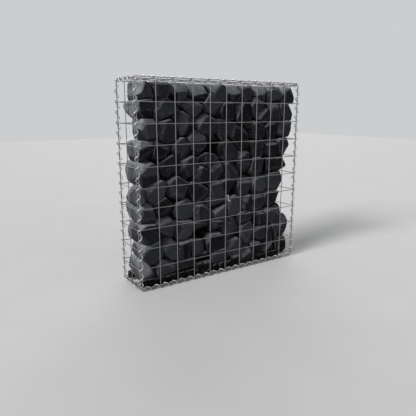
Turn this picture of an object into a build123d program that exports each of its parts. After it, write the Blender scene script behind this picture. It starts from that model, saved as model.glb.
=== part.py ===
from build123d import *
import math
import os
import random

# A free-standing gabion wall: six welded wire panels laced along their twelve edges with
# wire spirals, and packed by hand with dark angular stone in ten rough courses.
# X runs along the wall, the front face looks to -Y and Z is up. The origin is at the
# bottom centre: the undersides of the two long bottom spirals lie at Z = 0.

X = Vector(1, 0, 0)
Y = Vector(0, 1, 0)
Z = Vector(0, 0, 1)

# Basket
MESH = 100.0            # mesh pitch, wire centre to wire centre
CELLS_LONG = 10
CELLS_HIGH = 10
CELLS_DEEP = 2
WIRE = 4.0              # mesh wire, across the flats of a square bar

# Spirals
SPIRAL_OUTER = 24.0     # outer diameter, across the flats of the turns
SPIRAL_WIRE = 4.0
SPIRAL_PITCH = 50.0
SPIRAL_SIDES = 6        # straight strands in each turn
SEAT = 0.3              # clearance wherever one piece lies against another
SPIRAL_TRIM = 0.6       # room left between two spirals at a corner

# Tie wire that hooks over one lengthwise wire of the front and back panels
TIE_WIRE = 4.0
TIE_X = 515.0           # from the left end of the front panel
TIE_ROW = 4             # counted up from the bottom wire
TIE_HOOK = 30.0         # height of the hooked end

# Stone fill
JOINT = 0.3             # room between two stones that touch
LEAN = 8.0              # how far a stone's middle may lie before or behind the mesh
TILT = 0.10             # steepest slope of a stone's outer face
SINK = 6.0              # how far a stone's outer face may stand back from the mesh
TOP_GAP = 8.0           # room between the top course and the lid
MEETING = 220.0         # stones whose middles are further apart than this never touch
SEED = 20

# Courses from the bottom up. Each gives how far its left end stands back from the left
# panel at the rear, how far its right end stands back from the right panel at the front,
# and its stones. A stone is the place of its middle, from the left end and up from the
# bottom in hundredths of a mesh square, and then the faces split off its front: the
# direction in which each falls away, in degrees from the right, how far from the stone's
# middle it starts, and how steeply it falls, in degrees.
COURSES = (
    (4, 14, (
        (40, 72, (140, -25, 36), (42, 13, 50), (-90, 24, 45)), (148, 66, (-82, 20, 45), (60, 34, 34)),
        (268, 62, (-86, 22, 42), (100, 36, 30)), (370, 55, (-90, -60, 50)),
        (470, 58, (-82, 14, 42), (180, 38, 45)), (588, 92, (-100, 22, 38), (150, 38, 34)),
        (665, 40, (120, 10, 40)), (745, 58, (-75, 25, 40), (90, 38, 35)),
        (840, 55, (128, 4, 44), (-85, 20, 40)), (935, 60, (70, 30, 30), (-85, 24, 40)))),
    (33, 14, (
        (72, 155, (20, 46, 38), (110, 42, 25)), (182, 158, (200, 40, 42), (130, 30, 35)),
        (255, 150, (0, 20, 22), (180, 22, 25)), (335, 155, (-5, 34, 42), (90, 42, 32)),
        (448, 160, (-85, 42, 38), (180, 40, 30)), (672, 180, (216, 40, 42), (-30, 30, 22)),
        (768, 158, (-125, 28, 45), (120, 28, 30)), (832, 150, (170, 15, 25), (0, 20, 32)),
        (885, 172, (60, 15, 38)), (942, 165, (-60, 22, 34), (80, 28, 30)))),
    (15, 58, (
        (48, 270, (95, 45, 42), (180, 35, 40)), (152, 300, (95, 10, 36), (-115, 40, 42)),
        (255, 262, (175, 18, 20), (80, 40, 32)), (352, 238, (-80, -24, 55)),
        (450, 255, (-80, 6, 50), (195, 22, 45)), (550, 222, (120, 28, 20), (-60, 20, 25)),
        (645, 280, (-80, 24, 45)), (765, 248, (180, 10, 40)), (832, 255, (-2, 30, 42)),
        (885, 238, (60, 30, 30)))),
    (12, 92, (
        (48, 362, (-100, 12, 38), (90, 28, 38)), (262, 355, (-120, 40, 32), (60, 42, 32)),
        (368, 328, (60, 34, 42), (172, 36, 38)), (470, 318, (170, 22, 38)),
        (575, 345, (165, 36, 40), (-90, 35, 28)), (660, 350, (148, 22, 45)),
        (745, 345, (90, 28, 42), (-60, 30, 25)), (842, 355, (-40, 12, 30)))),
    (13, 72, (
        (-20, 448, (150, 0, 30)), (95, 466, (146, 22, 43), (228, 36, 36)),
        (230, 470, (-25, 32, 45), (200, 32, 28)), (345, 455, (64, 30, 40), (-60, 42, 35)),
        (455, 452, (216, 38, 42), (110, 38, 28)), (540, 470, (-42, 12, 38)),
        (645, 450, (85, 20, 48)), (745, 450, (90, 38, 40), (-80, 42, 35)),
        (850, 455, (-115, 24, 34), (-50, 34, 32)), (140, 382, (-60, 10, 34)),
        (450, 380, (-80, 4, 48)))),
    (15, 52, (
        (66, 572, (130, 28, 43), (-80, 14, 20)), (172, 597, (170, 35, 32), (-70, 15, 24)),
        (290, 575, (200, 25, 34), (-20, 30, 28)), (370, 535, (160, 20, 32)),
        (458, 545, (120, 22, 32), (-30, 30, 40)), (545, 545, (49, 14, 36)),
        (642, 585, (-90, 10, 28), (110, 36, 34)), (738, 560, (-10, 26, 48), (100, 45, 35)),
        (848, 570, (-88, 28, 50)))),
    (32, 34, (
        (48, 678, (-60, 18, 34), (100, 18, 22)), (135, 665, (60, 20, 40), (-60, 22, 32)),
        (250, 668, (-120, 10, 28), (-50, 10, 26)), (345, 698, (95, 12, 24), (-90, 32, 42)),
        (425, 690, (-90, -55, 45)), (410, 606, (180, 30, 38), (-60, 22, 28)),
        (530, 655, (40, 38, 40), (180, 35, 38)), (725, 660, (180, 28, 32), (95, 36, 38)),
        (848, 645, (92, 26, 45), (200, 35, 32)), (925, 670, (-70, 24, 30)))),
    (66, 14, (
        (52, 767, (126, 27, 46), (93, 31, 42)), (178, 755, (-8, 28, 34), (165, 40, 32)),
        (270, 796, (170, -5, 24), (-35, 14, 32)), (400, 786, (150, 48, 38), (-95, 45, 38)),
        (505, 762, (-40, 30, 40), (100, 45, 35)), (598, 725, (60, 36, 40), (150, 38, 34)),
        (735, 758, (178, 24, 45)), (838, 752, (90, 36, 40)), (922, 750, (110, 30, 28)))),
    (5, 22, (
        (50, 874, (-95, 10, 28)), (152, 878, (131, 16, 44), (-100, 44, 34)),
        (317, 874, (112, 12, 30), (232, 30, 34)), (440, 888, (-50, 18, 40)),
        (525, 860, (0, 32, 44), (-100, 45, 32)), (645, 858, (135, 30, 34), (-10, 42, 38)),
        (725, 885, (75, 20, 32), (-42, 26, 48)), (768, 825, (138, 14, 44)),
        (850, 858, (18, 18, 34)), (930, 860, (70, 26, 28)))),
    (43, 14, (
        (48, 953, (142, 16, 43), (33, 24, 43)), (150, 964, (90, 15, 48), (180, 38, 42)),
        (245, 957, (131, 0, 46), (90, -7, 44)), (350, 956, (100, -20, 46), (-95, 28, 36)),
        (480, 955, (142, 20, 46), (35, 22, 40)), (582, 952, (100, -8, 46), (-45, 28, 36)),
        (650, 950, (85, 28, 46), (-5, 24, 36)), (750, 962, (98, -16, 45), (-30, 34, 32)),
        (845, 955, (70, 18, 40), (160, 32, 36)), (935, 950, (122, 20, 43), (60, 34, 30)))),
)

# Derived sizes
LENGTH = CELLS_LONG * MESH
HEIGHT = CELLS_HIGH * MESH
DEPTH = CELLS_DEEP * MESH
FLAT_ANGLE = 360 / SPIRAL_SIDES
SPIRAL_REACH = SPIRAL_OUTER / 2 / math.cos(math.radians(FLAT_ANGLE / 2))


def wire_offsets():
    """How far a panel's outer and inner wires stand outside the mesh box, so that the two
    edge wires at a corner just fit inside the flats of their spiral."""
    room = SPIRAL_OUTER / 2 - SPIRAL_WIRE - SEAT
    fits = []
    for side in range(SPIRAL_SIDES):
        angle = math.radians(side * FLAT_ANGLE)
        across = abs(math.cos(angle))
        along = abs(math.sin(angle))
        fits.append(2 * (room - across * WIRE / 2) / (across + along))
    outer = min(fits)
    return outer, outer - WIRE


OUTER, INNER = wire_offsets()
FLOOR = SPIRAL_OUTER / 2 + OUTER / 2    # height of the mesh box above the ground
CORNER = Vector(-LENGTH / 2, -DEPTH / 2, FLOOR)
TIE_START = CORNER + X * TIE_X + Z * (TIE_ROW * MESH + WIRE / 2 + SEAT + TIE_WIRE / 2)


def bar(start, end, size):
    """Square bar between two points on a line along X, Y or Z, square at its ends."""
    middle = (start + end) / 2
    span = end - start
    return Pos(*middle) * Box(abs(span.X) + size, abs(span.Y) + size, abs(span.Z) + size)


def panel(origin, first, second, first_cells, second_cells, outward):
    """Welded panel on the plane through origin: the wires along first lie outside those
    along second, and are fused to them where they cross."""
    bars = []
    for row in range(second_cells + 1):
        start = origin + outward * OUTER + second * (row * MESH)
        bars.append(bar(start, start + first * (first_cells * MESH), WIRE))
    for row in range(first_cells + 1):
        start = origin + outward * INNER + first * (row * MESH)
        bars.append(bar(start, start + second * (second_cells * MESH), WIRE))
    return bars[0].fuse(*bars[1:])


def panels():
    """The six panels. Uprights lie outside on the front and back, lengthwise wires on the
    base and lid, and crosswise wires on the ends, so every edge pairs one of each."""
    far_x = CORNER + X * LENGTH
    far_y = CORNER + Y * DEPTH
    far_z = CORNER + Z * HEIGHT
    return {
        "front_panel": panel(CORNER, Z, X, CELLS_HIGH, CELLS_LONG, -Y),
        "back_panel": panel(far_y, Z, X, CELLS_HIGH, CELLS_LONG, Y),
        "left_end_panel": panel(CORNER, Y, Z, CELLS_DEEP, CELLS_HIGH, -X),
        "right_end_panel": panel(far_x, Y, Z, CELLS_DEEP, CELLS_HIGH, X),
        "base_panel": panel(CORNER, X, Y, CELLS_LONG, CELLS_DEEP, -Z),
        "lid_panel": panel(far_z, X, Y, CELLS_LONG, CELLS_DEEP, Z),
    }


def polygon(*points):
    """Flat face with straight sides."""
    return Face(Wire.make_polygon(points, close=True))


def spiral(corner, along, length, trim, face, side):
    """Right-handed wire spiral round an edge of the basket, flat on its outside and with a
    ridge inside. Its turns have flats towards face, the outward direction of the panel
    whose edge wire lies outside; side is the outward direction of the other panel. At each
    mesh wire the strand is at the outer corner, clear of both panels."""
    centre = corner + face * (OUTER / 2) + side * (INNER / 2)
    across = along.cross(face)
    outermost = math.degrees(math.atan2(side.dot(across), 1))
    inner = SPIRAL_REACH - SPIRAL_WIRE / math.cos(math.radians(FLAT_ANGLE / 2))
    slope = SPIRAL_PITCH / (math.pi * (SPIRAL_OUTER - SPIRAL_WIRE))
    rise = SPIRAL_WIRE / 2 * math.sqrt(1 + slope * slope)
    step = SPIRAL_PITCH / SPIRAL_SIDES
    lead = (FLAT_ANGLE / 2 - outermost) / 360 * SPIRAL_PITCH
    first = math.ceil((trim + rise - lead) / step)
    last = math.floor((length - trim - rise - lead) / step)
    rings = []
    for turn in range(first, last + 1):
        angle = math.radians(FLAT_ANGLE / 2 + turn * FLAT_ANGLE)
        radial = face * math.cos(angle) + across * math.sin(angle)
        middle = centre + along * (lead + turn * step)
        rings.append((middle + radial * inner,
                      middle + radial * SPIRAL_REACH - along * rise,
                      middle + radial * SPIRAL_REACH + along * rise))
    faces = [polygon(*rings[0]), polygon(*rings[-1])]
    for near, far in zip(rings, rings[1:]):
        faces.append(polygon(near[1], near[2], far[2], far[1]))
        for outer in (1, 2):
            faces.append(polygon(near[0], near[outer], far[outer]))
            faces.append(polygon(near[0], far[outer], far[0]))
    return Solid(Shell(faces))


def spirals():
    """The twelve spirals. The long ones run from corner to corner, and the upright and
    crosswise ones stop short of them."""
    parts = {}
    trim = SPIRAL_REACH - INNER / 2 + SPIRAL_TRIM
    ends = (("left", CORNER, -X), ("right", CORNER + X * LENGTH, X))
    levels = (("bottom", Vector(0, 0, 0), -Z), ("top", Z * HEIGHT, Z))
    faces = (("front", Vector(0, 0, 0), -Y), ("back", Y * DEPTH, Y))
    for level, lift, up in levels:
        for face, back, out in faces:
            parts[f"{face}_{level}_spiral"] = spiral(CORNER + lift + back, X, LENGTH, 0, up, out)
        for end, corner, out in ends:
            parts[f"{end}_{level}_spiral"] = spiral(corner + lift, Y, DEPTH, trim, out, up)
    for face, back, out in faces:
        for end, corner, away in ends:
            parts[f"{face}_{end}_spiral"] = spiral(corner + back, Z, HEIGHT, trim, out, away)
    return parts


def tie_wire():
    """Straight wire from front to back through the fill, lying on one lengthwise wire of
    each panel and hooked down over it."""
    reach = INNER + WIRE / 2 + SEAT + TIE_WIRE / 2
    front = TIE_START - Y * reach
    back = TIE_START + Y * (DEPTH + reach)
    drop = Z * (TIE_HOOK - TIE_WIRE)
    rod = bar(front, back, TIE_WIRE)
    return rod.fuse(bar(front - drop, front, TIE_WIRE), bar(back - drop, back, TIE_WIRE))


def trimmed(shape, point, normal):
    """What is left of a stone behind the plane through point that faces along normal."""
    proud = [corner for corner in shape.vertices() if (Vector(*corner) - point).dot(normal) > 0]
    if not proud:
        return shape
    return split(shape, bisect_by=Plane(origin=point, z_dir=normal), keep=Keep.BOTTOM)


def faceted(shape, point, out, faces):
    """A stone with faces split off round a point of its side that looks along out."""
    right = Z.cross(out)
    for towards, start, fall in faces:
        angle = math.radians(towards)
        fall = math.radians(fall)
        away = right * math.cos(angle) + Z * math.sin(angle)
        shape = trimmed(shape, point + away * start, out * math.cos(fall) + away * math.sin(fall))
    return shape


def opposite_faces(rng, first, starts, falls):
    """Two faces that fall away on about opposite sides of a stone."""
    return [(first + turn + rng.uniform(-40, 40), rng.uniform(*starts), rng.uniform(*falls))
            for turn in (0, 180)]


def cell(middle, neighbours):
    """The space nearer to a stone's middle than to any other stone's, inside the base and
    the lid and clear of the tie wire."""
    reach = 2 * MESH
    base = CORNER.Z - INNER + WIRE / 2 + SEAT
    top = CORNER.Z + HEIGHT - TOP_GAP
    low = max(base, middle.Z - reach)
    high = min(top, middle.Z + reach)
    shape = Pos(middle.X, 0, (low + high) / 2) * Box(2 * reach, 2 * DEPTH, high - low)
    for other in neighbours:
        gap = other - middle
        shape = trimmed(shape, middle + gap * (0.5 - JOINT / 2 / gap.length), gap)
    to_tie = TIE_START - middle
    to_tie.Y = 0
    tie_room = TIE_WIRE / math.sqrt(2) + SEAT
    return trimmed(shape, middle + to_tie * (1 - tie_room / to_tie.length), to_tie)


def ended(shape, middle, left_back, right_front, rng):
    """A stone cut back to the ends of its course, with two more faces where it shows."""
    left = SPIRAL_REACH - INNER / 2
    lean = max(left_back - left, 0) / DEPTH
    right = max(right_front, SPIRAL_REACH)
    for out, x, slope in ((-X, CORNER.X + left + lean * DEPTH / 2, lean),
                          (X, CORNER.X + LENGTH - right, 0)):
        point = Vector(x, 0, middle.Z)
        cut = trimmed(shape, point, out + Y * slope)
        if cut is not shape:
            cut = faceted(cut, point, out, opposite_faces(rng, 90, (20, 40), (16, 32)))
        shape = cut
    return shape


def faced(shape, middle, front_faces, rng):
    """A stone cut back to the front and back panels and the spirals, and split there."""
    face = DEPTH / 2 + INNER - WIRE / 2 - SEAT
    clear = (SPIRAL_REACH + SEAT) * math.sqrt(2) - (OUTER + INNER) / 2
    box = shape.bounding_box()
    back_faces = opposite_faces(rng, rng.uniform(0, 360), (8, 34), (24, 40))
    for out, faces in ((-Y, front_faces), (Y, back_faces)):
        slope_x = rng.uniform(-TILT, TILT)
        slope_z = rng.uniform(-TILT, TILT)
        sunk = abs(slope_x) * box.size.X / 2 + abs(slope_z) * box.size.Z / 2
        level = out.Y * (face - sunk - rng.uniform(0, SINK))
        centre = Vector(box.center().X, level, box.center().Z)
        shape = trimmed(shape, centre, out + X * slope_x + Z * slope_z)
        laid = Vector(middle.X, level, middle.Z)
        shape = faceted(shape, laid if faces is front_faces else centre, out, faces)
        for edge_z, up in ((CORNER.Z, -Z), (CORNER.Z + HEIGHT, Z)):
            edge = Vector(middle.X, out.Y * (DEPTH / 2 - clear), edge_z)
            if abs(edge_z - middle.Z) < MESH:
                shape = trimmed(shape, edge, out + up)
    return shape


def stone_courses():
    """Ten courses of stones, each stone leaning a little front to back. The stones of a
    course share a node and don't touch."""
    rng = random.Random(SEED)
    unit = MESH / 100
    laid = []
    for number, (left_back, right_front, stones) in enumerate(COURSES, start=1):
        for x, z, *front_faces in stones:
            middle = CORNER + Vector(x * unit, rng.uniform(-LEAN, LEAN), z * unit)
            laid.append((number, middle, left_back, right_front, front_faces))
    courses = {}
    for number, middle, left_back, right_front, front_faces in laid:
        near = [other for _, other, *_ in laid if 0 < (other - middle).length < MEETING]
        shape = cell(middle, near)
        shape = ended(shape, middle, left_back, right_front, rng)
        shape = faced(shape, middle, front_faces, rng)
        courses.setdefault(f"stone_course_{number:02d}", []).append(shape)
    return {name: Compound(children=stones) for name, stones in courses.items()}


os.makedirs("parts", exist_ok=True)
nodes = {}
nodes.update(panels())
nodes.update(spirals())
nodes["tie_wire"] = tie_wire()
nodes.update(stone_courses())
for name, shape in nodes.items():
    shape.label = name
    export_step(shape, f"parts/{name}.step")
    print(f"{name}: {len(shape.solids())} solids, {shape.volume / 1000:.1f} cm3")
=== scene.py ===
import math
import random

import bpy
import numpy as np
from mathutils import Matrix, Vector, noise


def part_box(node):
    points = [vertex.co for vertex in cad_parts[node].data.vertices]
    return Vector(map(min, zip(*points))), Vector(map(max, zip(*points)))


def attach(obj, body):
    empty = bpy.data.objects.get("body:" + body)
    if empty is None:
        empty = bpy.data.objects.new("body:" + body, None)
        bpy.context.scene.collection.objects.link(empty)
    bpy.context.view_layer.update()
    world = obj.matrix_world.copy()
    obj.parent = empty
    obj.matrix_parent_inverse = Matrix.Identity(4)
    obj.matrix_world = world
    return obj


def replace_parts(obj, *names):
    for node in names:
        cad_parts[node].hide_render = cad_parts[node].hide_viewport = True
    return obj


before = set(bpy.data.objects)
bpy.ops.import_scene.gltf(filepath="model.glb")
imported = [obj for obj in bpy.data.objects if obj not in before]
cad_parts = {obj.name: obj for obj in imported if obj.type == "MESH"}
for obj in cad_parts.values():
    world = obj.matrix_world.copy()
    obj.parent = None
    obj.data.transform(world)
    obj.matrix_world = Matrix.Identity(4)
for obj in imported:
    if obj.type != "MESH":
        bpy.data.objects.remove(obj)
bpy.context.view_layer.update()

MM = 0.001
X, Y, Z = (np.array(axis, float) for axis in ((1, 0, 0), (0, 1, 0), (0, 0, 1)))
SEED = 7

# Basket, as the CAD has it
MESH = 100 * MM
WIRE = 4 * MM
DEEP = 200 * MM
COIL_OUTER = 24 * MM
COIL_WIRE = 4 * MM
COIL_PITCH = 50 * MM
COIL_TRIM = 11.5 * MM       # the end and upright coils leave this much free at each corner
COURSES = 10

# Mesh wires
ROUND_SHARE = 0.985         # round wire, just inside the square bar of the CAD
CUT_SHARE = 0.13            # length of a bevelled cut end, as a share of the wire
WIRE_STEP = 12.5 * MM
WIRE_LEAST_POINTS = 9
WANDER = 0.7 * MM
WANDER_WAVES = (2, 3, 5, 7)     # half waves along a wire
EDGE_WANDER = 0.12 * MM     # edge wires stay nearly straight, because the coils run round them
NUGGET_STEPS = 2            # subdivisions of each edge of a nugget's ball
NUGGET_SIZE = 3.1 * MM
NUGGET_VARIES = 0.12
NUGGET_FLATTENED = 0.42

# Coils
COIL_INSET = 4.6 * MM
COIL_STEPS = 30             # points in each turn
COIL_SIDES = 11
COIL_DRIFT = 0.9 * MM
COIL_SQUEEZE = 0.012        # a coil is narrower than its room by up to twice this share
COIL_BEAT = 2.3             # how fast that varies, in radians for each turn
COIL_BEAT_START = (0, 6)

# Tie wire: each point of its front hook is so far right, back and up in mm
TIE_RADIUS = 1.9 * MM
TIE_STEPS = 8
HOOK = ((0, 0, 0), (0, -85, 1), (0, -98.5, 6), (0, -103.5, 12.5), (0, -108.5, 13.5),
        (0, -111.5, 8), (0, -111.8, -6), (0.5, -111.6, -15), (4, -111.2, -19.5),
        (10, -110.5, -16.5), (15, -109.5, -12.5))

# Stones of the CAD: when two of their points or faces are the same one
SAME_POINT = 0.01 * MM
SAME_FACE = 0.9995

# Stones: each starts as a ball, which is drawn out to the faces of its cell
BALL_STEPS = 13             # subdivisions of each edge of the ball
BALL_ARC = 63.4             # degrees that each edge of the icosahedron spans
EDGE_POWER = 120            # higher is sharper
SNAP = 0.40                 # share of the ball's spacing from which a point moves onto an edge
SAMPLE_STEPS = 15           # a cell's inside is felt out by a grid of this many steps each way
LEAST_SAMPLES = 20
LEAST_ROOM = 4 * MM         # a thinner stone is left out
THROUGH_SHARE = 0.2         # stones that run from front to back in one piece
PARTING_TILT = (0, 20)      # degrees between the wall's face and the face that parts two stones
PARTING_SHIFT = 20 * MM
PARTING_GAP = 0.4 * MM
FACE_TONE = 0.5             # share of a stone's tone that differs from face to face
ASKEW = (0.3, 0.5, 0.8)     # lies along none of the directions that get tilted

# Broken faces: how many, how many degrees off the wall's face, and the reach that they leave
BROAD_COUNT = (1, 2, 2)
BROAD_TILT = (30, 60)
BROAD_KEEP = (0.90, 0.98)
STEEP_COUNT = (2, 3, 3)
STEEP_TILT = (55, 82)
STEEP_KEEP = (0.89, 0.97)

# Dents and chips: a scale is how fast the noise changes, for each metre
DENT_MEAN = 0.7 * MM
DENT_LEAST = 0.1 * MM
DENT_SHARE = 0.2            # the most of the radius that a dent takes away
NOISE_SHIFT = 50            # each stone reads the noise from a place of its own, up to this far
BROAD_SCALE = 22
BROAD_DENT = 0.7 * MM
FINE_SCALE = 75
FINE_DENT = 0.5 * MM
FINE_LAYERS = (0.7, 2.1, 3)     # how fast layers of fine noise fade and narrow, and their count
CHIP_SCALE = 55
CHIP_DEPTH = 8 * MM
CHIP_FROM = 0.10
WORN_NARROW = 9             # higher wears a narrower strip along each edge
WHOLE_MIDDLE = 30 * MM      # dents fade to none here, so that no light shines through the fill

# Small stones along the foot of the fill
FOOT_STEP = 5 * MM
FOOT_LEAST = 8.5 * MM       # least room in a gap that gets a small stone
FOOT_RISES = (1.1, 2, 3, 4)
FOOT_APART = (24 * MM, 44 * MM)
FOOT_MOST = 32 * MM
FOOT_DEPTH = 80 * MM
FOOT_THICK = 34 * MM
FOOT_JOINT = 0.5 * MM
FOOT_CUTS = 3
FOOT_KEEP = (0.75, 0.95)
# The small stones keep less tone and wear, which paints them darker as shade at the foot
FOOT_SHADE = 0.4            # share of the tone and wear that larger stones have

# Greys of the stone: level, and how much blue and red there is in it
BASALT_DARK = (0.008, 1.20, 0.95)
BASALT_LIGHT = (0.025, 1.17, 0.96)
GRAINS = (0.042, 1.12, 0.97)
DARK_FACE = (0.003, 1.15, 0.96)
LIGHT_FACE = (0.050, 1.14, 0.97)
WORN_EDGE = (0.11, 1.10, 0.97)
# Dust, and painted sky light on faces that look up or to the left
DUST_AND_PAINTED_LIGHT = (0.29, 1.10, 0.97)
# Painted shade deep in the fill and along its foot
PAINTED_SHADE = (0.002, 1, 1)

# Camera, fitted to the crossings of the mesh in the photo
CAMERA_PLACE = (-1.3066, -1.9079, 0.8710)
CAMERA_AIM = (-0.1127, -0.1078, 0.3802)
LENS = 36.61
SENSOR = 36

# Lamps: name, where from, strength, and angle in degrees
LAMPS = (("key", (-0.82, -0.14, 0.56), 3.7, 22),
         ("fill", (0.45, -0.80, 0.35), 0.25, 60),
         ("back", (0.55, 0.80, 0.35), 1.3, 50))
WORLD_COLOUR = (0.95, 0.98, 1, 1)
WORLD_STRENGTH = 0.28
BACKDROP = (0.60, 0.61, 0.62, 1)
FLOOR_REACH = 12.0
FLOOR_DROP = 0.2 * MM


# Meshes

def make_piece(name, points, faces, material, values=None):
    """A smooth-shaded mesh that rides with the wall. Values are numbers at its points."""
    mesh = bpy.data.meshes.new(name)
    mesh.from_pydata(points.tolist(), [], faces)
    mesh.update()
    mesh.shade_smooth()
    for key, data in (values or {}).items():
        mesh.attributes.new(key, "FLOAT", "POINT").data.foreach_set("value", data)
    piece = bpy.data.objects.new(name, mesh)
    bpy.context.scene.collection.objects.link(piece)
    mesh.materials.append(material)
    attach(piece, "root")
    return piece


def joined(parts):
    """Several (points, faces) put together as one."""
    points, faces, count = [], [], 0
    for some_points, some_faces in parts:
        points.append(some_points)
        faces.extend([tuple(i + count for i in face) for face in some_faces])
        count += len(some_points)
    return np.vstack(points), faces


def tube(path, radius, sides=12, bevel=0.25):
    """Round wire along a path of points, with bevelled cut ends."""
    path = np.asarray(path, float)
    along = np.gradient(path, axis=0)
    along /= np.linalg.norm(along, axis=1)[:, None]
    side = np.cross(along[0], Z if abs(along[0][2]) < 0.9 else X)
    side /= np.linalg.norm(side)
    rings = []
    for at, forward in zip(path, along):
        side = side - forward * side.dot(forward)
        side /= np.linalg.norm(side)
        rings.append((at, side, np.cross(forward, side)))
    cut = radius * bevel
    angles = np.linspace(0, 2 * math.pi, sides, endpoint=False)
    circle = np.stack([np.cos(angles), np.sin(angles)], 1)

    def ring(at, across, up, size):
        return at + size * (circle[:, :1] * across + circle[:, 1:] * up)

    loops = [ring(at, across, up, radius) for at, across, up in rings]
    first, last = rings[0], rings[-1]
    loops.insert(0, ring(first[0] - along[0] * cut, first[1], first[2], radius - cut))
    loops.append(ring(last[0] + along[-1] * cut, last[1], last[2], radius - cut))
    points = np.vstack(loops)
    faces = []
    for row in range(len(loops) - 1):
        for k in range(sides):
            a, b = row * sides + k, row * sides + (k + 1) % sides
            faces.append((a, b, b + sides, a + sides))
    faces.append(tuple(reversed(range(sides))))
    faces.append(tuple(range(len(points) - sides, len(points))))
    return points, faces


def ball(steps):
    """Points and triangles of a ball, each edge of an icosahedron cut into equal steps."""
    g = (1 + 5 ** 0.5) / 2      # golden ratio
    corners = np.array([(-1, g, 0), (1, g, 0), (-1, -g, 0), (1, -g, 0), (0, -1, g), (0, 1, g),
                        (0, -1, -g), (0, 1, -g), (g, 0, -1), (g, 0, 1), (-g, 0, -1), (-g, 0, 1)])
    sides = [(0, 11, 5), (0, 5, 1), (0, 1, 7), (0, 7, 10), (0, 10, 11), (1, 5, 9), (5, 11, 4),
             (11, 10, 2), (10, 7, 6), (7, 1, 8), (3, 9, 4), (3, 4, 2), (3, 2, 6), (3, 6, 8),
             (3, 8, 9), (4, 9, 5), (2, 4, 11), (6, 2, 10), (8, 6, 7), (9, 8, 1)]
    points, index, faces = [], {}, []

    def number(point):
        unit = point / np.linalg.norm(point)
        key = tuple(np.round(unit, 5) + 0.0)
        if key not in index:
            index[key] = len(points)
            points.append(unit)
        return index[key]

    for a, b, c in sides:
        a, b, c = corners[a], corners[b], corners[c]
        rows = [[number(a * (steps - i) + b * (i - j) + c * j) for j in range(i + 1)]
                for i in range(steps + 1)]
        for i in range(steps):
            for j in range(i + 1):
                faces.append((rows[i][j], rows[i + 1][j], rows[i + 1][j + 1]))
                if j < i:
                    faces.append((rows[i][j], rows[i + 1][j + 1], rows[i][j + 1]))
    return np.array(points), faces


# Materials

class Nodes:
    """A material's node tree, built from short calls."""

    def __init__(self, name):
        self.material = bpy.data.materials.new(name)
        self.material.use_nodes = True
        self.tree = self.material.node_tree
        self.shader = self.tree.nodes["Principled BSDF"]

    def fill(self, node, key, value):
        """Link or set one input of a node."""
        if isinstance(value, bpy.types.NodeSocket):
            self.tree.links.new(value, node.inputs[key])
        else:
            node.inputs[key].default_value = value

    def add(self, kind, inputs=None, **settings):
        node = self.tree.nodes.new(kind)
        for key, value in settings.items():
            setattr(node, key, value)
        for key, value in (inputs or {}).items():
            self.fill(node, key, value)
        return node

    def place(self):
        return self.add("ShaderNodeTexCoord").outputs["Object"]

    def attribute(self, name):
        return self.add("ShaderNodeAttribute", attribute_name=name).outputs["Fac"]

    def split(self, vector):
        return self.add("ShaderNodeSeparateXYZ", {0: vector}).outputs

    def noise(self, place, scale, detail=4.0, rough=0.55):
        return self.add("ShaderNodeTexNoise", {"Vector": place, "Scale": scale,
                        "Detail": detail, "Roughness": rough}).outputs["Fac"]

    def ramp(self, value, low, high, out_low=0.0, out_high=1.0):
        return self.add("ShaderNodeMapRange", {"Value": value, "From Min": low, "From Max": high,
                        "To Min": out_low, "To Max": out_high}).outputs["Result"]

    def math(self, operation, a, b=0.0):
        return self.add("ShaderNodeMath", {0: a, 1: b}, operation=operation).outputs[0]

    def times(self, a, b):
        return self.math("MULTIPLY", a, b)

    def mix(self, amount, a, b):
        """Colour a, going over to b as the amount goes from 0 to 1."""
        return self.add("ShaderNodeMix", {0: amount, 6: a, 7: b}, data_type="RGBA").outputs[2]

    def finish(self, colour, roughness, height, distance, strength):
        bump = self.add("ShaderNodeBump", {"Height": height, "Distance": distance,
                        "Strength": strength})
        self.fill(self.shader, "Base Color", colour)
        self.fill(self.shader, "Roughness", roughness)
        self.fill(self.shader, "Normal", bump.outputs["Normal"])
        return self.material


def grey(level, blue=1.0, red=1.0):
    return (level * red, level, level * blue, 1)


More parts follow.
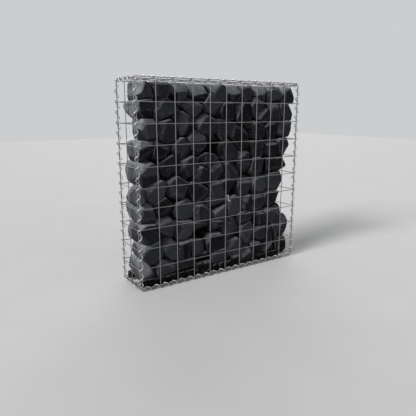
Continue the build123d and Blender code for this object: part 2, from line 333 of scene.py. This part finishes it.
def stone_material():
    """Dark split basalt: mottled and finely grained, dusty with painted sky light where it faces
    up, with painted light where it faces left, and with painted shade deep in the fill and at its
    foot.
    """
    nodes = Nodes("stone")
    place = nodes.place()
    at = nodes.split(place)
    across = nodes.math("ABSOLUTE", at["Y"])
    along = nodes.math("ABSOLUTE", at["X"])
    height = at["Z"]

    # Mottling and grain
    mottle, grain = nodes.noise(place, 38, 6), nodes.noise(place, 420, 3, 0.7)
    base = nodes.mix(nodes.ramp(mottle, 0.3, 0.7), grey(*BASALT_DARK), grey(*BASALT_LIGHT))
    base = nodes.mix(nodes.ramp(grain, 0.55, 0.75), base, grey(*GRAINS))

    # Darker and lighter split faces
    tone = nodes.attribute("tone")
    base = nodes.mix(nodes.ramp(tone, 0.15, 0.45, 0.70, 0.0), base, grey(*DARK_FACE))
    base = nodes.mix(nodes.ramp(tone, 0.40, 0.80, 0.0, 0.85), base, grey(*LIGHT_FACE))

    # Patches of wear along the edges
    worn = nodes.times(nodes.ramp(nodes.attribute("edge"), 0.35, 1.0, 0.0, 0.55),
                       nodes.ramp(nodes.noise(place, 75, 7, 0.72), 0.42, 0.62))
    base = nodes.mix(worn, base, grey(*WORN_EDGE))

    # Dust and painted sky light on what looks up, and painted light on what looks to the left,
    # most of all high up at the ends
    facing = nodes.split(nodes.add("ShaderNodeNewGeometry").outputs["Normal"])
    painted_end_light = nodes.times(nodes.ramp(along, 420 * MM, 470 * MM),
                           nodes.ramp(height, 550 * MM, 920 * MM))
    left = nodes.times(facing["X"], nodes.ramp(painted_end_light, 0, 1, -0.28, -0.62))
    sky = nodes.math("ADD", nodes.times(facing["Z"], 0.9), left)
    dust_and_painted_light = nodes.times(nodes.ramp(nodes.noise(place, 90, 5, 0.65), 0.25, 0.7, 0.45, 1.0),
                       nodes.ramp(sky, 0.20, 0.95))
    base = nodes.mix(dust_and_painted_light, base, grey(*DUST_AND_PAINTED_LIGHT))

    # Painted shade on the sides deep in the fill and along its foot
    deep_fill_shade = nodes.times(nodes.ramp(across, 90 * MM, 52 * MM),
                         nodes.ramp(along, 455 * MM, 410 * MM))
    deep_fill_shade = nodes.times(deep_fill_shade, nodes.ramp(height, 1000 * MM, 950 * MM))
    dark = nodes.math("MAXIMUM", deep_fill_shade, nodes.ramp(height, 90 * MM, 15 * MM))
    base = nodes.mix(nodes.times(dark, 0.8), base, grey(*PAINTED_SHADE))

    # Broken surface with fine crystals
    crystals = nodes.add("ShaderNodeTexVoronoi", {"Vector": place, "Scale": 330.0})
    broken = nodes.math("ADD", nodes.times(nodes.noise(place, 55, 9, 0.74), 1.8),
                        nodes.times(crystals.outputs["Distance"], -0.35))
    nodes.shader.inputs["Specular IOR Level"].default_value = 0.05
    return nodes.finish(base, nodes.ramp(grain, 0.3, 0.75, 0.78, 0.94), broken, 2.6 * MM, 0.9)


def wire_material(name, level, metal, rough):
    """Galvanised wire: faint zinc spangle, dull oxide patches and a fine grain."""
    nodes = Nodes(name)
    place = nodes.place()
    spangle = nodes.add("ShaderNodeTexVoronoi", {"Vector": place, "Scale": 240.0})
    spread = nodes.add("ShaderNodeSeparateColor", {0: spangle.outputs["Color"]}).outputs["Red"]
    oxide = nodes.ramp(nodes.noise(place, 28, 5, 0.6), 0.42, 0.66)
    colour = nodes.mix(spread, grey(level * 0.9, 1.03), grey(level * 1.12, 1.02))
    colour = nodes.mix(nodes.times(oxide, 0.6), colour, grey(level * 0.72, 1.0, 1.02))
    roughness = nodes.math("ADD", nodes.ramp(oxide, 0, 1, rough, rough + 0.2),
                           nodes.ramp(spread, 0, 1, -0.05, 0.05))
    nodes.shader.inputs["Metallic"].default_value = metal
    return nodes.finish(colour, roughness, nodes.noise(place, 520, 3), 0.25 * MM, 0.6)


def floor_material():
    nodes = Nodes("floor")
    place = nodes.place()
    colour = nodes.mix(nodes.noise(place, 3, 3), grey(0.50, 0.99), grey(0.55, 0.99))
    roughness = nodes.ramp(nodes.noise(place, 40), 0, 1, 0.85, 0.95)
    return nodes.finish(colour, roughness, nodes.noise(place, 200), 0.5 * MM, 0.3)


# Camera, light and floor

def turned(name, data, place, towards, axis):
    """An object that looks along a direction, with its own axis that way."""
    thing = bpy.data.objects.new(name, data)
    thing.location = place
    thing.rotation_mode = "QUATERNION"
    thing.rotation_quaternion = Vector(towards).to_track_quat(axis, "Y")
    bpy.context.scene.collection.objects.link(thing)
    return thing


def set_up_camera():
    data = bpy.data.cameras.new("camera")
    data.sensor_width = SENSOR
    data.lens = LENS
    towards = Vector(CAMERA_AIM) - Vector(CAMERA_PLACE)
    bpy.context.scene.camera = turned("camera", data, CAMERA_PLACE, towards, "-Z")


def set_up_light():
    """Soft lamps, and a world that camera and reflections see as a pale backdrop."""
    world = bpy.data.worlds.new("world")
    bpy.context.scene.world = world
    world.use_nodes = True
    nodes, links = world.node_tree.nodes, world.node_tree.links
    nodes.clear()
    seen = nodes.new("ShaderNodeLightPath")
    either = nodes.new("ShaderNodeMath")
    either.operation = "MAXIMUM"
    links.new(seen.outputs["Is Camera Ray"], either.inputs[0])
    links.new(seen.outputs["Is Glossy Ray"], either.inputs[1])
    light, backdrop = nodes.new("ShaderNodeBackground"), nodes.new("ShaderNodeBackground")
    light.inputs["Color"].default_value = WORLD_COLOUR
    light.inputs["Strength"].default_value = WORLD_STRENGTH
    backdrop.inputs["Color"].default_value = BACKDROP
    mix, out = nodes.new("ShaderNodeMixShader"), nodes.new("ShaderNodeOutputWorld")
    links.new(either.outputs[0], mix.inputs[0])
    links.new(light.outputs[0], mix.inputs[1])
    links.new(backdrop.outputs[0], mix.inputs[2])
    links.new(mix.outputs[0], out.inputs[0])

    for name, towards, strength, angle in LAMPS:
        sun = bpy.data.lights.new(name, "SUN")
        sun.energy = strength
        sun.angle = math.radians(angle)
        turned(name, sun, (0, 0, 0), towards, "Z")


def set_up_floor():
    mesh = bpy.data.meshes.new("floor")
    signs = ((-1, -1), (1, -1), (1, 1), (-1, 1))
    mesh.from_pydata([(x * FLOOR_REACH, y * FLOOR_REACH, 0) for x, y in signs], [], [(0, 1, 2, 3)])
    mesh.materials.append(floor_material())
    floor = bpy.data.objects.new("floor", mesh)
    floor.location.z = -FLOOR_DROP
    bpy.context.scene.collection.objects.link(floor)


bpy.context.scene.view_settings.view_transform = "Standard"
set_up_camera()
set_up_light()
set_up_floor()

MESH_WIRE = wire_material("mesh_wire", level=0.25, metal=0.75, rough=0.45)
SPIRAL_WIRE = wire_material("spiral_wire", level=0.50, metal=0.78, rough=0.36)
TIE_WIRE = wire_material("tie_wire", level=0.66, metal=0.6, rough=0.32)
STONE = stone_material()


# Mesh panels

rng = random.Random(SEED)
NUGGET = ball(NUGGET_STEPS)


def wander(count, most):
    """Smooth sideways wander along a wire, none at its ends."""
    share = np.linspace(0, 1, count)
    total = np.zeros(count)
    for waves in WANDER_WAVES:
        total += rng.uniform(-1, 1) / waves * np.sin(math.pi * waves * share)
    return total * most


def weld(at, out):
    """Small flattened nugget where two wires are welded."""
    unit, faces = NUGGET
    varied = [rng.uniform(-NUGGET_VARIES, NUGGET_VARIES) for _ in range(3)]
    stretched = unit * NUGGET_SIZE * (1 + np.array(varied))
    return at + stretched - out * (stretched @ out)[:, None] * NUGGET_FLATTENED, faces


def panel(node, out, outer_along, inner_along, name):
    """Welded panel: the outer wires along one axis, the inner ones across them."""
    low, high = (np.array(corner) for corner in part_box(node))
    outwards = out.sum() > 0
    outside = (high if outwards else low) - out * WIRE / 2
    inside = (low if outwards else high) + out * WIRE / 2
    k = int(np.argmax(np.abs(out)))
    parts = []
    for along, across, level in ((outer_along, inner_along, outside[k]),
                                 (inner_along, outer_along, inside[k])):
        a, b = int(np.argmax(along)), int(np.argmax(across))
        rows = round((high[b] - low[b] - WIRE) / MESH)
        count = max(WIRE_LEAST_POINTS, round((high[a] - low[a]) / WIRE_STEP) + 1)
        for row in range(rows + 1):
            path = np.zeros((count, 3))
            path[:, a] = np.linspace(low[a] + WIRE * CUT_SHARE, high[a] - WIRE * CUT_SHARE, count)
            path[:, b] = low[b] + WIRE / 2 + row * MESH
            path[:, k] = level
            path[:, b] += wander(count, EDGE_WANDER if row in (0, rows) else WANDER)
            parts.append(tube(path, WIRE / 2 * ROUND_SHARE))
    a, b = int(np.argmax(outer_along)), int(np.argmax(inner_along))
    for i in range(round((high[a] - low[a] - WIRE) / MESH) + 1):
        for j in range(round((high[b] - low[b] - WIRE) / MESH) + 1):
            at = np.zeros(3)
            at[k] = (outside[k] + inside[k]) / 2
            at[a] = low[a] + WIRE / 2 + i * MESH
            at[b] = low[b] + WIRE / 2 + j * MESH
            parts.append(weld(at, out))
    points, faces = joined(parts)
    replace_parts(make_piece(name, points, faces, MESH_WIRE), node)


panel("front_panel", -Y, Z, X, "front_mesh")
panel("back_panel", Y, Z, X, "back_mesh")
panel("left_end_panel", -X, Y, Z, "left_end_mesh")
panel("right_end_panel", X, Y, Z, "right_end_mesh")
panel("base_panel", -Z, X, Y, "base_mesh")
panel("lid_panel", Z, X, Y, "lid_mesh")


# Coils along the twelve edges

FRONT_LOW, FRONT_HIGH = (np.array(corner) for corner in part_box("front_panel"))
LENGTH = FRONT_HIGH[0] - FRONT_LOW[0] - WIRE
HEIGHT = FRONT_HIGH[2] - FRONT_LOW[2] - WIRE
CORNER = np.array([FRONT_LOW[0] + WIRE / 2, -DEEP / 2, FRONT_LOW[2] + WIRE / 2])
OUTER_WIRE = -DEEP / 2 - FRONT_LOW[1] - WIRE / 2    # how far a panel's outer wires stand out
INNER_WIRE = OUTER_WIRE - WIRE


def coil(name, corner, along, length, trim, face, side):
    """Right-handed round spiral about an edge of the basket."""
    centre = corner + face * OUTER_WIRE / 2 + side * INNER_WIRE / 2
    across = np.cross(along, face)
    start = math.atan2(side.dot(across), 1)
    inset = trim + COIL_INSET
    count = round((length - 2 * inset) / COIL_PITCH * COIL_STEPS)
    run = np.linspace(inset, length - inset, count)
    angle = start + 2 * math.pi * run / COIL_PITCH
    drift = wander(count, COIL_DRIFT)
    beat = np.sin(run / COIL_PITCH * COIL_BEAT + rng.uniform(*COIL_BEAT_START))
    radius = (COIL_OUTER - COIL_WIRE) / 2 * (1 - COIL_SQUEEZE - COIL_SQUEEZE * beat)
    path = (centre + along * (run + drift)[:, None]
            + face * (radius * np.cos(angle))[:, None]
            + across * (radius * np.sin(angle))[:, None])
    points, faces = tube(path, COIL_WIRE / 2, COIL_SIDES)
    piece = make_piece(name + "_coil", points, faces, SPIRAL_WIRE)
    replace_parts(piece, name + "_spiral")


FACES = (("front", 0 * Y, -Y), ("back", DEEP * Y, Y))
ENDS = (("left", 0 * X, -X), ("right", LENGTH * X, X))

for level, lift, up in (("bottom", 0 * Z, -Z), ("top", HEIGHT * Z, Z)):
    for face, back, out in FACES:
        coil(f"{face}_{level}", CORNER + lift + back, X, LENGTH, 0, up, out)
    for end, away, out in ENDS:
        coil(f"{end}_{level}", CORNER + lift + away, Y, DEEP, COIL_TRIM, out, up)
for face, back, out in FACES:
    for end, away, side in ENDS:
        coil(f"{face}_{end}", CORNER + back + away, Z, HEIGHT, COIL_TRIM, out, side)


# Tie wire

def smooth_path(points, steps):
    """Curve through some points."""
    points = [np.array(point, float) for point in points]
    points = [2 * points[0] - points[1]] + points + [2 * points[-1] - points[-2]]
    path = []
    for a, b, c, d in zip(points, points[1:], points[2:], points[3:]):
        for i in range(steps):
            t = i / steps
            path.append(0.5 * (2 * b + (c - a) * t + (2 * a - 5 * b + 4 * c - d) * t * t
                               + (3 * b - a - 3 * c + d) * t ** 3))
    path.append(points[-2])
    return path


def tie():
    """One wire through the fill, with a hook over a lengthwise wire of each panel."""
    low, high = (np.array(corner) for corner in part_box("tie_wire"))
    middle_x, line_z = (low[0] + high[0]) / 2, high[2] - WIRE / 2
    hook = [(middle_x + right * MM, back * MM, line_z + up * MM) for right, back, up in HOOK]
    far_hook = [(x, -y, z) for x, y, z in reversed(hook[1:])]
    points, faces = tube(smooth_path(far_hook + hook, TIE_STEPS), TIE_RADIUS)
    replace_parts(make_piece("tie", points, faces, TIE_WIRE), "tie_wire")


tie()


# Stones

BALL = ball(BALL_STEPS)
BALL_SPACING = math.radians(BALL_ARC / BALL_STEPS)


def convex_cells(node):
    """Each convex stone of a node, as outward normals, their distances, and its box."""
    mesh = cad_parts[node].data
    mesh.calc_loop_triangles()
    points = np.array([vertex.co for vertex in mesh.vertices])
    triangles = [tuple(triangle.vertices) for triangle in mesh.loop_triangles]
    keys = {}
    welded = [keys.setdefault(tuple(np.round(point / SAME_POINT).astype(int)), len(keys))
              for point in points]
    parent = list(range(len(keys)))

    def root(i):
        while parent[i] != i:
            parent[i] = parent[parent[i]]
            i = parent[i]
        return i

    for a, b, c in triangles:
        for other in (b, c):
            parent[root(welded[a])] = root(welded[other])
    groups = {}
    for triangle in triangles:
        groups.setdefault(root(welded[triangle[0]]), []).append(points[list(triangle)])
    cells = []
    for group in groups.values():
        sized = [(np.cross(b - a, c - a), a) for a, b, c in group]
        found = []
        for cross, at in sorted(sized, key=lambda face: -np.linalg.norm(face[0])):
            size = np.linalg.norm(cross)
            if size > 1e-9 and all(cross.dot(normal) < SAME_FACE * size for normal, _ in found):
                found.append((cross / size, (cross / size).dot(at)))
        corners = np.vstack(group)
        cells.append((np.array([normal for normal, _ in found]),
                      np.array([distance for _, distance in found]),
                      corners.min(0), corners.max(0)))
    return sorted(cells, key=lambda cell: cell[2][0])


def samples(normals, distances, low, high):
    """Points spread evenly through a convex cell."""
    axes = [np.linspace(low[k], high[k], SAMPLE_STEPS)[1:-1] for k in range(3)]
    grid = np.stack(np.meshgrid(*axes, indexing="ij"), -1).reshape(-1, 3)
    return grid[(grid @ normals.T < distances).all(1)]


def direction(tilt, about):
    """Random unit vector that is tilted from another, by degrees between two limits."""
    other = np.cross(about, ASKEW)
    other /= np.linalg.norm(other)
    turn = rng.uniform(0, 2 * math.pi)
    tip = math.radians(rng.uniform(*tilt))
    side = other * math.cos(turn) + np.cross(about, other) * math.sin(turn)
    return about * math.cos(tip) + side * math.sin(tip)


def cuts(count, tilt, keep, out):
    """Broken faces, each a direction and how much of the reach that way it leaves."""
    return [(direction(tilt, out), rng.uniform(*keep)) for _ in range(count)]


def face_cuts(out):
    """Small faces that break the front or the back of a stone."""
    broad = cuts(rng.choice(BROAD_COUNT), BROAD_TILT, BROAD_KEEP, out)
    return broad + cuts(rng.choice(STEEP_COUNT), STEEP_TILT, STEEP_KEEP, out)


def chiselled(cell, faces):
    """A cell's normals and distances with its broken faces, and points inside them all."""
    normals, distances, low, high = cell
    inside = samples(*cell)
    if len(inside) < LEAST_SAMPLES:
        return None
    for normal, keep in faces:
        middle = inside.mean(0)
        reach = (inside @ normal).max() - middle @ normal
        distance = middle @ normal + reach * keep
        normals = np.vstack([normals, normal])
        distances = np.append(distances, distance)
        inside = inside[inside @ normal < distance]
    return normals, distances, inside


def snapped(units, pull):
    """Directions of the ball, with those next to an edge of the stone moved onto it."""
    order = np.argsort(-(units @ pull.T), axis=1)[:, :2]
    ridge = pull[order[:, 0]] - pull[order[:, 1]]
    length = np.maximum(np.linalg.norm(ridge, axis=1), 1e-9)
    off = (ridge * units).sum(1) / length
    off = np.where(np.abs(off) < SNAP * BALL_SPACING, off, 0)
    units = units - off[:, None] * ridge / length[:, None]
    return units / np.linalg.norm(units, axis=1)[:, None]


def dents(points, edge):
    """How deep the surface lies under the split faces: broad and fine dents, chipped edges."""
    shift = Vector([rng.uniform(-NOISE_SHIFT, NOISE_SHIFT) for _ in range(3)])
    deep = np.empty(len(points))
    for i, point in enumerate(points):
        at = Vector(point)
        broad = noise.noise(at * BROAD_SCALE + shift)
        fine = noise.fractal(at * FINE_SCALE + shift, *FINE_LAYERS)
        chip = noise.noise(at * CHIP_SCALE - shift)
        deep[i] = DENT_MEAN + broad * BROAD_DENT + fine * FINE_DENT
        deep[i] += edge[i] * max(chip - CHIP_FROM, 0) * CHIP_DEPTH
    fade = (np.abs(points[:, 1]) - WHOLE_MIDDLE) / WHOLE_MIDDLE
    return np.maximum(deep, DENT_LEAST) * np.clip(fade, 0, 1)


def stone(cell, faces):
    """A stone's points, and the tone and wear at each, or None where the cell is too small."""
    made = chiselled(cell, faces)
    if made is None:
        return None
    normals, distances, inside = made
    middle = inside.mean(0)
    room = distances - normals @ middle
    if room.min() < LEAST_ROOM:
        return None
    pull = normals / room[:, None]
    units = snapped(BALL[0], pull)
    rates = units @ pull.T
    radius = 1 / (np.maximum(rates, 0) ** EDGE_POWER).sum(1) ** (1 / EDGE_POWER)
    second, first = np.sort(rates, axis=1)[:, -2:].T
    edge = np.clip(1 - (first - second) / first * WORN_NARROW, 0, 1)
    deep = dents(middle + units * radius[:, None], edge)
    points = middle + units * (radius - np.minimum(deep, radius * DENT_SHARE))[:, None]
    tones = np.array([rng.random() for _ in range(len(distances))])
    tone = tones[np.argmax(rates, axis=1)] * FACE_TONE + rng.random() * (1 - FACE_TONE)
    return points, tone, edge


def stone_piece(name, made, shade=1.0):
    """One piece of many stones, leaving out the cells that were too small."""
    made = [one for one in made if one]
    points, faces = joined([(points, BALL[1]) for points, _, _ in made])
    tone = np.concatenate([tone for _, tone, _ in made]) * shade
    edge = np.concatenate([edge for _, _, edge in made]) * shade
    return make_piece(name, points, faces, STONE, {"tone": tone, "edge": edge})


def course(number):
    """A course of stones, most of them parted into a front and a back stone."""
    node = f"stone_course_{number:02d}"
    made = []
    for cell in convex_cells(node):
        normals, distances, low, high = cell
        if rng.random() < THROUGH_SHARE:
            made.append(stone(cell, face_cuts(-Y) + face_cuts(Y)))
            continue
        parting = direction(PARTING_TILT, Y)
        middle = (low + high) / 2 + Y * rng.uniform(-PARTING_SHIFT, PARTING_SHIFT)
        for sign in (1, -1):
            half = (np.vstack([normals, parting * sign]),
                    np.append(distances, middle @ parting * sign - PARTING_GAP), low, high)
            made.append(stone(half, face_cuts(-sign * Y)))
    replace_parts(stone_piece(f"stones_course_{number:02d}", made), node)


def foot_places(cells, low, high, y):
    """Open places along the foot of the fill, those with the most room first."""
    found = []
    for x in np.arange(low[0] + FOOT_LEAST, high[0] - FOOT_LEAST, FOOT_STEP):
        for rise in FOOT_RISES:
            at = np.array([x, y, low[2] + rise * FOOT_LEAST])
            room = min((normals @ at - distances).max() for normals, distances, _, _ in cells)
            if room > FOOT_LEAST:
                found.append((room, at))
    places = []
    for _, at in sorted(found, key=lambda place: -place[0]):
        apart = rng.uniform(*FOOT_APART)
        if all(np.linalg.norm(at - other) > apart for other in places):
            places.append(at)
    return places


def foot_cell(at, places, cells, low, high):
    """Room round a place, parted from the large stones and from the other small ones."""
    reach = np.array([FOOT_MOST, FOOT_THICK / 2, FOOT_MOST])
    first, last = np.maximum(at - reach, low), np.minimum(at + reach, high)
    normals, distances = [X, Y, Z, -X, -Y, -Z], [*last, *-first]
    for cell_normals, cell_distances, _, _ in cells:
        face = int(np.argmax(cell_normals @ at - cell_distances))
        normals.append(-cell_normals[face])
        distances.append(-cell_distances[face] - FOOT_JOINT)
    for other in places:
        apart = other - at
        if apart.any():
            normals.append(apart / np.linalg.norm(apart))
            distances.append(normals[-1] @ (at + other) / 2 - FOOT_JOINT)
    return np.array(normals), np.array(distances), first, last


def foot_stones():
    """Small stones wedged under the split faces of the bottom course, darkened as painted shade.
    """
    cells = convex_cells("stone_course_01") + convex_cells("stone_course_02")
    low, high = (np.array(corner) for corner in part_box("stone_course_01"))
    made = []
    for out in (-Y, Y):
        places = foot_places(cells, low, high, out[1] * FOOT_DEPTH)
        for at in places:
            cell = foot_cell(at, places, cells, low, high)
            made.append(stone(cell, cuts(FOOT_CUTS, BROAD_TILT, FOOT_KEEP, out)))
    stone_piece("foot_stones", made, FOOT_SHADE)


for number in range(1, COURSES + 1):
    course(number)
foot_stones()
